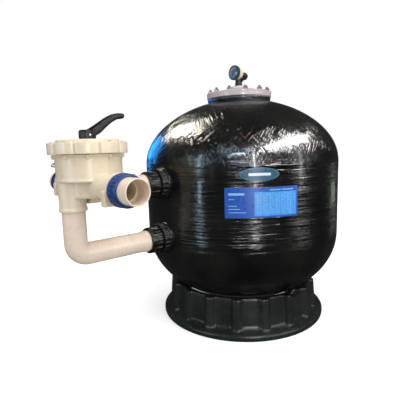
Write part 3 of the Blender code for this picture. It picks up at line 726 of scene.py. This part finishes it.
def pipe_ring(point, direction, radius, segments):
    normal = Y.cross(direction)
    return [point + Y * radius * math.cos(angle) + normal * radius * math.sin(angle)
            for angle in full_turn(segments)]


def make_elbow_pipe(material):
    """Bottom port down, round the bend and along to the lower fitting."""
    segments = 72
    start = fillet([(0.3503, 0.029), (0.3543, 0.029), (0.3543, PIPE_RADIUS),
                    (0.3592, PIPE_RADIUS), (0.3602, 0.0284), (0.3655, 0.0286), (0.3664, 0.0274),
                    (0.3682, 0.0274), (0.369, 0.0284), (0.3722, 0.0282), (0.374, 0.027),
                    (0.385, PIPE_RADIUS)], 0.0006, closed=False)
    stations = [(tank_point(-s, 0, LOWER_PORT_Z), -X, radius) for s, radius in start]
    corner = valve_point(BOTTOM_PORT_X, 0, LOWER_PORT_Z)
    bend = 0.029
    centre = corner + X * bend + Z * bend
    for index in range(25):
        angle = math.pi / 2 * index / 24
        point = centre - Z * bend * math.cos(angle) - X * bend * math.sin(angle)
        direction = -X * math.cos(angle) + Z * math.sin(angle)
        swell = 0.0003 * math.sin(2 * angle)
        stations.append((point, direction, PIPE_RADIUS + swell))
    stations.append((valve_point(BOTTOM_PORT_X, 0, 0.4135), Z, PIPE_RADIUS))
    outer = [pipe_ring(point, way, radius, segments) for point, way, radius in stations]
    inner = [pipe_ring(point, way, PIPE_BORE, segments)
             for point, way, _ in [stations[0]] + stations[len(start):]]
    item = loft("elbow_pipe_moulded", outer + inner[::-1], closed=True)
    place(item, material, "elbow_pipe")


def make_upper_tailpiece(material):
    profile = [(PIPE_BORE, 0.3503), (0.029, 0.3503), (0.029, 0.3543), (PIPE_RADIUS, 0.3543),
               (PIPE_RADIUS, 0.3598), (0.0284, 0.3606), (0.0284, 0.369), (PIPE_RADIUS, 0.37),
               (PIPE_RADIUS, 0.408), (PIPE_BORE, 0.408)]
    matrix = axis_frame(tank_point(z=UPPER_PORT_Z), -X)
    item = softened("upper_tailpiece_pipe", profile, 0.0007, matrix, 96, closed=True)
    place(item, material, "upper_tailpiece")


def side_ports():
    return [("pump", -Y), ("return", Y), ("waste", WASTE_DIRECTION)]


def make_outside_union(port, direction, nut_material, stub_material):
    face = valve_point(z=SIDE_PORT_Z) + direction * PORT_FACES[port]
    matrix = axis_frame(face, direction)
    nut = [(0.0312, -0.021), (0.0351, -0.021), (0.0361, -0.019), (0.0361, -0.0125),
           (0.0354, -0.0115), (0.0354, 0.004), (0.0342, 0.0082), (0.0322, 0.0095),
           (0.0293, 0.0095), (0.0291, 0.0052), (0.0312, 0.0051)]
    ring = softened(f"{port}_union_nut_ribbed", nut, 0.001, matrix, 288, True,
                    outer_only(ribbed(24, 0.0013, -0.012, 0.006, 0.42), 0.033))
    place(ring, nut_material, f"{port}_union_nut")
    tail = [(0.025, 0.0003), (0.0304, 0.0003), (0.0304, 0.0046), (0.0282, 0.0048),
            (0.0282, 0.037), (0.028, 0.0425), (0.0272, 0.0436), (0.026, 0.0436),
            (0.0252, 0.0428), (0.025, 0.039)]
    stub = softened(f"{port}_tailpiece_stub", tail, 0.0008, matrix, 96, True)
    place(stub, stub_material, f"{port}_tailpiece")


# Multiport valve

def make_valve_body(material):
    bowl = [(0.056, 0.4205), (0.06, 0.4245), (0.06, 0.459), (0.078, 0.459),
            (0.0785, 0.46), (0.0785, 0.464), (0.0765, 0.4655), (0.077, 0.514),
            (0.0815, 0.5165), (0.0815, 0.52)]
    body = rod(valve_point(), Z, bowl, 120)
    bottom = valve_point(BOTTOM_PORT_X)
    down = [(0.0312, 0.3897), (0.0321, 0.3905), (0.0321, 0.3965), (0.0304, 0.398),
            (0.0306, 0.43), (0.032, 0.462)]
    across = [(0.031, 0.0), (0.031, 0.119), (0.0322, 0.1205), (0.0322, 0.131),
              (0.031, 0.132)]
    solids = [rod(bottom, Z, down), rod(valve_point(-0.012, 0, UPPER_PORT_Z), X, across)]
    centre = valve_point(z=SIDE_PORT_Z)
    for port, direction in side_ports():
        face = PORT_FACES[port]
        arm = [(0.0295, -0.01), (0.0295, face - 0.0428), (0.036, face - 0.042),
               (0.0362, face - 0.0265), (0.0355, face - 0.0256), (0.03, face - 0.0253),
               (0.0298, face - 0.0002)]
        solids.append(rod(centre, direction, arm))
    near, far = PORT_FACES["pump"] - 0.0422, PORT_FACES["pump"] - 0.0258
    for start, end in ((-far, -near), (near, far)):
        solids.append(block(valve_point(-0.0395, start, 0.4133), valve_point(0.0395, end, 0.445)))
    for start, end in ((-near, -0.05), (0.05, near)):
        solids.append(block(valve_point(-0.002, start, 0.4155), valve_point(0.002, end, 0.47)))
    solids.append(block(valve_point(0.05, -0.002, 0.405), valve_point(0.116, 0.002, 0.463)))
    solids.append(rod(valve_point(z=SIGHT_GLASS_Z), SIGHT_DIRECTION,
                      [(0.012, 0.065), (0.0112, 0.0795)], 40))
    for spot in cover_screw_spots():
        solids.append(rod(spot, Z, [(0.0012, 0.509), (0.003, 0.512), (0.004, 0.5195)], 24))
    for solid in solids:
        combine(body, solid, "UNION")

    drill(body, valve_point(), Z, 0.068, 0.466, 0.54, 96)
    drill(body, bottom, Z, 0.02, 0.38, 0.47)
    drill(body, bottom, Z, 0.0276, 0.38, 0.414, 64)
    drill(body, valve_point(z=UPPER_PORT_Z), X, 0.02, 0.03, 0.13)
    drill(body, valve_point(z=UPPER_PORT_Z), X, 0.0276, 0.0955, 0.14, 64)
    drill(body, valve_point(0.045), Z, 0.012, UPPER_PORT_Z, 0.48, 32)
    for port, direction in side_ports():
        inner, window, radius = (0.058, 0.0523, 0.009) if port == "waste" else (0.03, 0.045, 0.012)
        drill(body, centre, direction, 0.02, inner, PORT_FACES[port] + 0.01)
        drill(body, valve_point() + direction * window, Z, radius, SIDE_PORT_Z, 0.48, 32)
    drill(body, valve_point(z=SIGHT_GLASS_Z), SIGHT_DIRECTION, 0.0068, 0.05, 0.09, 32)
    body.name = "valve_body_moulded"
    moulded(body, 0.0013, 3)
    place(body, material, "valve_body")


def cover_screw_spots():
    return [valve_point(COVER_SCREW_CIRCLE * math.cos(turn), COVER_SCREW_CIRCLE * math.sin(turn))
            for turn in full_turn(COVER_LOBES, LOBE_PHASE)]


def lobe_radius(angle):
    """Cover outline: broad round lobes that meet in narrow valleys."""
    phase = ((angle - LOBE_PHASE) * COVER_LOBES / (2 * math.pi) + 0.5) % 1.0
    across = abs(phase - 0.5) * 2
    rise = COVER_LOBE_RADIUS - COVER_VALLEY_RADIUS
    return COVER_VALLEY_RADIUS + rise * math.sqrt(max(0.0, 1 - across ** 2.6))


def make_cover(cover_material, screw_material):
    tip = COVER_LOBE_RADIUS
    profile = [(0.0088, 0.5528), (0.0225, 0.5528), (0.024, 0.5515), (0.064, 0.551),
               (0.0655, 0.5528), (0.0718, 0.553), (0.073, 0.5465), (tip, 0.5465),
               (tip, 0.5225), (0.0907, 0.5207), (0.066, 0.5207), (0.066, 0.54),
               (0.064, 0.543), (0.0088, 0.5445)]

    def shape(angle, radius, along):
        if radius < 0.08:
            return radius
        return radius + lobe_radius(angle) - tip

    cover = softened("valve_cover_lobed", profile, 0.0018, axis_frame(valve_point(), Z), 480,
                     True, shape)
    spokes = []
    for index in range(6):
        angle = math.radians(60 * index + 30)
        outward = Vector((math.cos(angle), math.sin(angle), 0))
        sideways = Vector((-outward.y, outward.x, 0))
        quads = [(0.0265, -0.001), (0.06, -0.0016), (0.06, 0.0016), (0.0265, 0.001)]
        rings = [[valve_point(z=z) + outward * reach + sideways * side for reach, side in quads]
                 for z in (0.549, 0.5524)]
        spokes.append(loft("tool", rings))
    merge(cover, spokes)
    place(cover, cover_material, "valve_cover")

    head_profile = [(0.0002, 0.5462), (0.0015, 0.5462), (0.0018, 0.548), (0.0034, 0.5483),
                    (0.004, 0.5474), (0.004, 0.544), (0.0002, 0.544)]
    for number, spot in enumerate(cover_screw_spots(), start=1):
        head = softened(f"cover_screw_{number:02d}", head_profile, 0.0004, axis_frame(spot, Z), 32)
        place(head, screw_material)


def make_sight_glass(material):
    profile = [(0.0042, 0.09), (0.0042, 0.069), (0.0063, 0.069), (0.0063, 0.0803),
               (0.0098, 0.0805), (0.0098, 0.0832), (0.007, 0.0842), (0.0052, 0.0905),
               (0.0028, 0.0952)]
    matrix = axis_frame(valve_point(z=SIGHT_GLASS_Z), SIGHT_DIRECTION)
    item = softened("sight_glass_clear", profile, 0.0009, matrix, 48)
    place(item, material, "sight_glass")


def smooth_path(points, steps):
    """Catmull-Rom curve through rows of numbers."""
    rows = [points[0]] + list(points) + [points[-1]]
    made = []
    for index in range(1, len(rows) - 2):
        for step in range(steps):
            t = step / steps
            row = []
            for a, b, c, d in zip(*rows[index - 1:index + 3]):
                row.append(0.5 * (2 * b + (c - a) * t + (2 * a - 5 * b + 4 * c - d) * t * t
                                  + (3 * b - a - 3 * c + d) * t ** 3))
            made.append(row)
    made.append(list(points[-1]))
    return made


def squared(value):
    """Push a sine or cosine outwards, which turns an ellipse into a rounded box."""
    return math.copysign(abs(value) ** 0.62, value)


def make_handle(material):
    """Lever with a round hub; the arm leaves its top, sweeps up and flattens to a cut end."""
    pivot = valve_point(z=PIN_Z)
    side = [(0.0189, -0.0086), (0.0195, -0.007), (0.0192, 0.008), (0.0172, 0.0114),
            (0.01, 0.0118)]
    hub = softened("valve_handle_lever", side, 0.002, axis_frame(pivot, Z), 96)
    for index in range(28):
        turn = 2 * math.pi * (index + 0.5) / 28
        rib = rod(pivot + 0.0189 * Vector((math.cos(turn), math.sin(turn), 0)), Z,
                  [(0.0009, -0.0078), (0.0009, 0.007)], 10)
        combine(hub, rib, "UNION")
    spine = smooth_path([
        (-0.002, 0.5655, 0.0165, 0.008, -8), (0.01, 0.57, 0.016, 0.0092, -22),
        (0.024, 0.578, 0.014, 0.0096, -34), (0.038, 0.5885, 0.0123, 0.0086, -38),
        (0.052, 0.5984, 0.0116, 0.0078, -33), (0.065, 0.6056, 0.0116, 0.0071, -24),
        (0.078, 0.6098, 0.012, 0.0063, -12), (0.0895, 0.6104, 0.0122, 0.0056, 2),
        (0.0925, 0.6098, 0.0112, 0.0046, 8)], 6)
    rings = []
    for x, z, half_width, half_height, degrees in spine:
        lean = math.radians(degrees)
        upward = Vector((math.sin(lean), 0, math.cos(lean)))
        ring = []
        for turn in full_turn(32):
            side = squared(math.cos(turn)) * half_width * 1.08
            rise = squared(math.sin(turn)) * half_height * 1.14
            ring.append(valve_point(x, 0, z) + Y * side + upward * rise)
        rings.append(ring)
    combine(hub, loft("tool", rings), "UNION")
    drill(hub, pivot, Z, 0.011, -0.02, 0.007, 48)
    drill(hub, pivot, Y, 0.0034, -0.03, 0.03, 24)
    moulded(hub, 0.0007, 4)
    place(hub, material, "valve_handle")


def make_handle_pin(pin_material, washer_material):
    pin = [(0.0024, -0.0176), (0.0029, -0.0171), (0.0029, 0.0171), (0.0024, 0.0176)]
    item = softened("handle_pin_round", pin, 0.0004, axis_frame(valve_point(z=PIN_Z), Y), 32)
    place(item, pin_material, "handle_pin")
    rim = [(0.009, 0.0003), (0.019, 0.0003), (0.019, 0.0023), (0.009, 0.0023)]
    washer = softened("valve_washer_round", rim, 0.0007,
                      axis_frame(valve_point(z=COVER_DISC_TOP), Z), 72, closed=True)
    place(washer, washer_material, "valve_washer")


def make_drain(material):
    matrix = axis_frame(tank_point(z=DRAIN_Z), DRAIN_DIRECTION)
    spigot = [(0.0045, 0.218), (0.0082, 0.218), (0.0082, 0.233), (0.0112, 0.2452),
              (0.0112, 0.2493), (0.0078, 0.2495), (0.0078, 0.2625), (0.0045, 0.2625)]
    item = softened("drain_spigot_turned", spigot, 0.0006, matrix, 48, closed=True)
    place(item, material, "drain_spigot")
    cup = [(0.0084, 0.263), (0.0084, 0.2499), (0.011, 0.2499), (0.0112, 0.2655),
           (0.0095, 0.2676), (0.003, 0.268)]
    cap = softened("drain_cap_winged", cup, 0.0009, matrix, 120,
                   shape=outer_only(ribbed(12, 0.0009, 0.251, 0.265, 0.4), 0.0105))
    across = DRAIN_DIRECTION.cross(Z)
    wing = fillet([(-0.0163, 0.265), (0.0163, 0.265), (0.0163, 0.269), (0.012, 0.2708),
                   (-0.012, 0.2708), (-0.0163, 0.269)], 0.0012)
    rings = [[tank_point(z=DRAIN_Z + side) + across * a + DRAIN_DIRECTION * reach
              for a, reach in wing] for side in (-0.0021, 0.0021)]
    merge(cap, [loft("tool", rings)])
    place(cap, material, "drain_cap")


# Labels on the vessel's side

def on_side(degrees, height, lift):
    """Point on the cylinder; degrees run to the right of the way the label faces."""
    angle = math.radians(-90 + LABEL_TOWARD + degrees)
    reach = VESSEL_RADIUS + lift
    return tank_point(reach * math.cos(angle), reach * math.sin(angle), height)


def patch(name, left, right, low, high, lift, thickness=0.00015, steps=24):
    """Thin sheet wrapped on the cylinder."""
    rings = []
    for index in range(steps + 1):
        spot = left + (right - left) * index / steps
        rings.append([on_side(spot, low, lift - thickness), on_side(spot, high, lift - thickness),
                      on_side(spot, high, lift), on_side(spot, low, lift)])
    return loft(name, rings)


def make_rating_label(mats):
    """Plain blue rating plate: bars and a ruled table in place of any words."""
    def bar(left, right, low, high, lift=0.0005, steps=3):
        return patch("tool", left, right, LABEL_LOW + low, LABEL_LOW + high, lift, 0.0002, steps)

    plate = patch("label_plate", -9.8, 26.0, LABEL_LOW, LABEL_LOW + 0.076, 0.0003, 0.0004, 60)
    place(plate, mats["label_blue"])
    table = bar(4.2, 25.2, 0.0045, 0.064, 0.00042, 40)
    table.name = "label_table"
    place(table, mats["label_pale_blue"])
    lines = ((-8.0, -0.5, 0.057, 0.0625), (-8.0, -5.2, 0.046, 0.0477),
             (-8.0, -4.0, 0.0295, 0.0312), (-8.0, -2.6, 0.0215, 0.0232),
             (-8.0, 0.4, 0.013, 0.0146), (11.5, 17.0, 0.0675, 0.07),
             (17.6, 23.6, 0.0675, 0.07))
    bars = [bar(*line, 0.00042, 8) for line in lines]
    bars += [bar(column - 0.09, column + 0.09, 0.0055, 0.063, steps=2)
             for column in (7.2, 10.2, 13.2, 16.2, 19.2, 22.2)]
    bars += [bar(5.0, 24.6, 0.01 + row * 0.0062, 0.0105 + row * 0.0062, steps=30)
             for row in range(9)]
    random.seed(5)
    for row in range(8):
        for column in range(6):
            left = 5.2 + column * 3.0
            width = 0.9 + 0.8 * random.random()
            low = 0.0122 + row * 0.0062
            bars.append(bar(left, left + width, low, low + 0.0014))
    marks = merge(bars[0], bars[1:])
    marks.name = "label_bars"
    place(marks, mats["label_print"])


def oval(name, centre, width, height, lift, thickness=0.0004):
    """Thin oval wrapped on the cylinder, from the middle of its back round to its front."""
    levels = (0.12, 0.5, 0.94, 1.0)
    layers = [(level, thickness) for level in levels] + [(level, 0.0) for level in levels[::-1]]
    return loft(name, [[on_side(centre + width * level * math.cos(angle),
                                BADGE_Z + height * level * math.sin(angle), lift - depth)
                        for angle in full_turn(96)] for level, depth in layers])


def make_badge(mats):
    rim = oval("badge_rim", 6.8, 9.4, 0.017, 0.0006)
    place(rim, mats["badge_rim"])
    field = oval("badge_field", 6.8, 8.7, 0.0148, 0.0009)
    place(field, mats["badge_blue"])
    bar = patch("badge_bar", 1.6, 12.0, 0.4558, 0.4625, 0.0011, 0.0003, 16)
    place(bar, mats["label_white"])


# Stage

def make_stage():
    look = Look("studio_floor", (0.8, 0.8, 0.8), 0.75)
    look.tint(look.noise(3.0, 3.0), (0.79, 0.79, 0.79), (0.82, 0.82, 0.82))
    look.set("Emission Color", (1.0, 1.0, 1.0, 1.0))
    look.set("Emission Strength", 0.4)
    mesh = bpy.data.meshes.new("studio_floor")
    mesh.from_pydata([(-30, -30, 0), (30, -30, 0), (30, 30, 0), (-30, 30, 0)], [], [(0, 1, 2, 3)])
    floor = bpy.data.objects.new("studio_floor", mesh)
    bpy.context.scene.collection.objects.link(floor)
    mesh.materials.append(look.material)
    floor.visible_glossy = False
    floor.visible_diffuse = False
    make_world()
    bpy.context.scene.view_settings.view_transform = "Standard"


def make_world():
    """White behind the object; a soft sky, darker below, lights it; reflections see little of it."""
    world = bpy.data.worlds.new("studio")
    bpy.context.scene.world = world
    world.use_nodes = True
    tree = world.node_tree
    background = tree.nodes["Background"]
    background.inputs["Color"].default_value = (1.0, 1.0, 1.0, 1.0)

    def blend(share, low, high):
        node = tree.nodes.new("ShaderNodeMapRange")
        for socket, value in (("Value", share), ("To Min", low), ("To Max", high)):
            if isinstance(value, (int, float)):
                node.inputs[socket].default_value = value
            else:
                tree.links.new(value, node.inputs[socket])
        return node

    where = tree.nodes.new("ShaderNodeTexCoord")
    split = tree.nodes.new("ShaderNodeSeparateXYZ")
    tree.links.new(where.outputs["Generated"], split.inputs[0])
    sky = blend(split.outputs["Z"], 0.6, 1.1)
    sky.inputs["From Min"].default_value = -0.35
    sky.inputs["From Max"].default_value = 0.6
    path = tree.nodes.new("ShaderNodeLightPath")
    dim = blend(path.outputs["Is Glossy Ray"], sky.outputs["Result"], 0.035)
    final = blend(path.outputs["Is Camera Ray"], dim.outputs["Result"], 1.0)
    tree.links.new(final.outputs["Result"], background.inputs["Strength"])


def soft_light(name, bearing, distance, height, size, power, color=(1, 1, 1), gloss_only=True):
    """Rectangular light at a bearing from the camera's side of the vessel, right positive."""
    angle = math.radians(-90 - VIEW_HEADING + bearing)
    spot = tank_point(distance * math.cos(angle), distance * math.sin(angle), height)
    data = bpy.data.lights.new(name, "AREA")
    data.shape = "RECTANGLE"
    data.size, data.size_y = size
    data.energy = power
    data.color = color
    light = bpy.data.objects.new(name, data)
    light.location = spot
    light.rotation_euler = (tank_point(z=0.4) - spot).to_track_quat("-Z", "Y").to_euler()
    light.visible_camera = False
    light.visible_diffuse = not gloss_only
    bpy.context.scene.collection.objects.link(light)
    return light


def restrict(lights, item, state):
    """Let the lights reach only this item (INCLUDE), or everything but it (EXCLUDE)."""
    group = bpy.data.collections.new("light_group_" + state.lower())
    group.objects.link(item)
    group.collection_objects[0].light_linking.link_state = state
    for light in lights:
        light.light_linking.receiver_collection = group


def make_lights(vessel):
    """Two keys light all but the vessel; every other light shows only as a reflection."""
    warm = (1.0, 0.96, 0.91)
    keys = [soft_light("key_above", 25, 1.1, 2.3, (1.4, 1.0), 17, warm, False),
            soft_light("key_front", 40, 2.6, 1.2, (1.2, 1.2), 16, warm, False)]
    soft_light("strip_front", 9, 3.0, 1.1, (0.08, 1.9), 44)
    soft_light("box_right", 60, 2.4, 1.0, (0.2, 1.6), 12)
    soft_light("strip_left", -50, 2.8, 0.9, (0.2, 1.8), 20, (0.6, 0.8, 1.0))
    soft_light("strip_far_left", -67, 2.8, 0.8, (0.45, 1.6), 6, (0.95, 0.95, 0.9))
    glints = [soft_light("blue_behind", -140, 2.4, 1.0, (0.6, 0.8), 15, (0.03, 0.34, 1.0)),
              soft_light("cream_behind", -122, 2.0, 2.6, (0.8, 0.8), 150, (1.0, 0.95, 0.82)),
              soft_light("shoulder", 58, 2.4, 2.6, (3.0, 0.5), 330, (1.0, 0.97, 0.93)),
              soft_light("shoulder_blue", -8, 2.6, 1.9, (0.7, 0.22), 26, (0.7, 0.85, 1.0)),
              soft_light("right_edge", 118, 2.4, 0.12, (0.5, 0.2), 0.7, (0.75, 0.9, 0.7))]
    restrict(keys, vessel, "EXCLUDE")
    restrict(glints, vessel, "INCLUDE")


def make_camera():
    heading = math.radians(VIEW_HEADING)
    pitch = math.radians(7.953)
    roll = math.radians(-1.673)
    right = Vector((math.cos(heading), -math.sin(heading), 0))
    ahead = Vector((math.sin(heading), math.cos(heading), 0))
    forward = ahead * math.cos(pitch) - Z * math.sin(pitch)
    up = ahead * math.sin(pitch) + Z * math.cos(pitch)
    side = right * math.cos(roll) + up * math.sin(roll)
    top = up * math.cos(roll) - right * math.sin(roll)
    spot = tank_point() - right * 0.1323 - ahead * 1.1773 + Z * 0.5231
    matrix = Matrix((side, top, -forward)).transposed().to_4x4()
    matrix.translation = spot
    data = bpy.data.cameras.new("camera")
    data.lens = 32.51
    data.sensor_width = 36
    data.dof.use_dof = False
    camera = bpy.data.objects.new("camera", data)
    camera.matrix_world = matrix
    bpy.context.scene.collection.objects.link(camera)
    bpy.context.scene.camera = camera


def make_materials():
    return {
        "resin": wound_resin(),
        "skirt": skirt_plastic(),
        "clear": clear_plastic("clear_lid", (0.96, 0.86, 0.89), 0.5, 0.14),
        "steel": metal("stainless", (0.55, 0.54, 0.52), 0.3),
        "brass": metal("brass", (0.62, 0.43, 0.14), 0.28),
        "gauge_black": black_plastic("gauge_black", 0.32),
        "fitting": black_plastic("fitting_black", 0.3),
        "lever": black_plastic("lever_black", 0.44),
        "cream": ivory_plastic("gauge_cream", (0.78, 0.7, 0.55), 0.35),
        "teal": moulded_plastic("gauge_teal", (0.01, 0.06, 0.065), 0.3).material,
        "lens": clear_plastic("lens", (0.92, 0.95, 0.97), 0.95, 0.04),
        "dial": printed("dial_blue", (0.02, 0.1, 0.46)),
        "pale": printed("pale_paint", (0.72, 0.78, 0.86)),
        "ivory": ivory_plastic("ivory_valve"),
        "ivory_pipe": ivory_plastic("ivory_pipe", (0.8, 0.66, 0.55), 0.28),
        "stub": ivory_plastic("stub_white", (0.82, 0.69, 0.59), 0.3),
        "blue": blue_plastic(),
        "inner": moulded_plastic("inner_white", (0.8, 0.79, 0.74), 0.45).material,
        "grey": moulded_plastic("valve_grey", (0.2, 0.21, 0.22), 0.4).material,
        "rubber": rubber("seal_rubber"),
        "label_blue": printed("label_blue", (0.01, 0.085, 0.44)),
        "label_pale_blue": printed("label_pale_blue", (0.04, 0.29, 0.78)),
        "label_print": printed("label_print", (0.22, 0.5, 0.86)),
        "label_white": printed("label_white", (0.62, 0.74, 0.92)),
        "badge_rim": printed("badge_rim", (0.035, 0.16, 0.22)),
        "badge_blue": printed("badge_blue", (0.015, 0.085, 0.16)),
    }


def dress_inner_nodes(mats):
    """Frame nodes that stay as they are get a finished material for their slot."""
    by_slot = {"seal_rubber": "rubber", "pin_steel": "steel", "black_fitting": "fitting",
               "inner_white": "inner", "valve_grey": "grey"}
    for node, slot in SLOT_OF.items():
        item = frame["nodes"][node]
        if item.hide_render:
            continue
        look = mats[by_slot[slot]]
        item.data.materials.clear()
        item.data.materials.append(look)
        for polygon in item.data.polygons:
            polygon.material_index = 0


def main():
    mats = make_materials()
    vessel = make_vessel(mats["resin"])
    make_skirt(mats["skirt"])
    make_lid(mats["clear"])
    make_lid_bolts(mats["steel"])
    make_gauge_tee(mats["gauge_black"])
    make_gauge(mats)
    make_air_relief(mats["gauge_black"])
    make_side_fitting("upper", UPPER_PORT_Z, mats["fitting"])
    make_side_fitting("lower", LOWER_PORT_Z, mats["fitting"])
    make_elbow_pipe(mats["ivory_pipe"])
    make_upper_tailpiece(mats["ivory_pipe"])
    for port, direction in side_ports():
        make_outside_union(port, direction, mats["blue"], mats["stub"])
    make_valve_body(mats["ivory"])
    make_cover(mats["ivory"], mats["steel"])
    make_sight_glass(mats["lens"])
    make_handle(mats["lever"])
    make_handle_pin(mats["steel"], mats["inner"])
    make_drain(mats["fitting"])
    make_rating_label(mats)
    make_badge(mats)
    dress_inner_nodes(mats)
    make_stage()
    make_lights(vessel)
    make_camera()


main()
